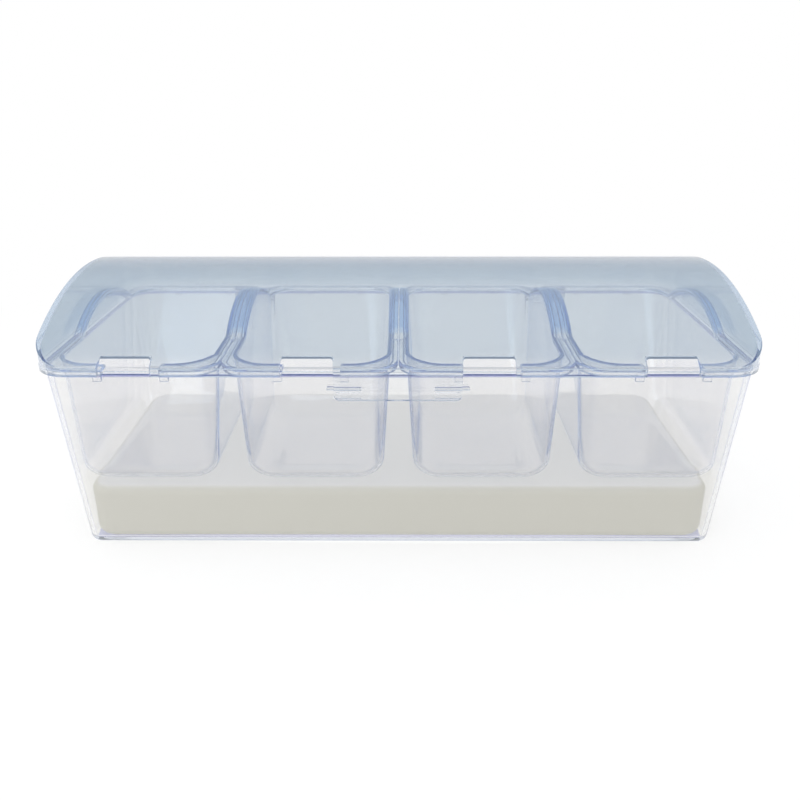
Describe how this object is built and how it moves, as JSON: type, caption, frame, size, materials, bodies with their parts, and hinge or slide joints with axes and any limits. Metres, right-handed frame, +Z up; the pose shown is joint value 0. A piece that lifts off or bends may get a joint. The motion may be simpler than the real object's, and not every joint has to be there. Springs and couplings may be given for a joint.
{
  "type": "condiment caddy",
  "caption": "Chilled countertop condiment caddy: clear tub with an ice pack, lift-out scoop cups and one hinged domed lid with spoon notches and a latch tab.",
  "frame": {"origin": "centre of the flat underside of the tub", "axes": "+X along the caddy to the right as seen from the front, +Y from the front to the hinge side, +Z up"},
  "size_m": [0.3858, 0.1834, 0.1465],
  "materials": {
    "clear_plastic": "clear moulded styrene, glossy",
    "smoky_clear_plastic": "clear moulded styrene with a blue grey tint, glossy",
    "ice_pack_plastic": "off-white blown polyethylene, satin",
    "coolant": "freezable gel, hidden inside the ice pack"
  },
  "bodies": {
    "tub": {"tub": "clear_plastic", "hinge_pin_left": "clear_plastic", "hinge_pin_right": "clear_plastic"},
    "lid": {"lid": "smoky_clear_plastic"},
    "cup_1": {"cup_1": "clear_plastic"},
    "cup_2": {"cup_2": "clear_plastic"},
    "cup_3": {"cup_3": "clear_plastic"},
    "cup_4": {"cup_4": "clear_plastic"},
    "ice_pack": {"ice_pack_shell": "ice_pack_plastic", "ice_pack_plug": "ice_pack_plastic", "ice_pack_coolant": "coolant"}
  },
  "joints": [
    {"name": "lid_hinge", "type": "hinge", "parent": "tub", "child": "lid", "pos_m": [0, 0.09, 0.106], "axis": [-1, 0, 0], "range_deg": [0, 105]},
    {"name": "cup_1_lift", "type": "slide", "parent": "tub", "child": "cup_1", "axis": [0, 0, 1], "range_m": [0, 0.002]},
    {"name": "cup_2_lift", "type": "slide", "parent": "tub", "child": "cup_2", "axis": [0, 0, 1], "range_m": [0, 0.002]},
    {"name": "cup_3_lift", "type": "slide", "parent": "tub", "child": "cup_3", "axis": [0, 0, 1], "range_m": [0, 0.002]},
    {"name": "cup_4_lift", "type": "slide", "parent": "tub", "child": "cup_4", "axis": [0, 0, 1], "range_m": [0, 0.002]},
    {"name": "ice_pack_lift", "type": "slide", "parent": "tub", "child": "ice_pack", "axis": [0, 0, 1], "range_m": [0, 0.0015]}
  ]
}
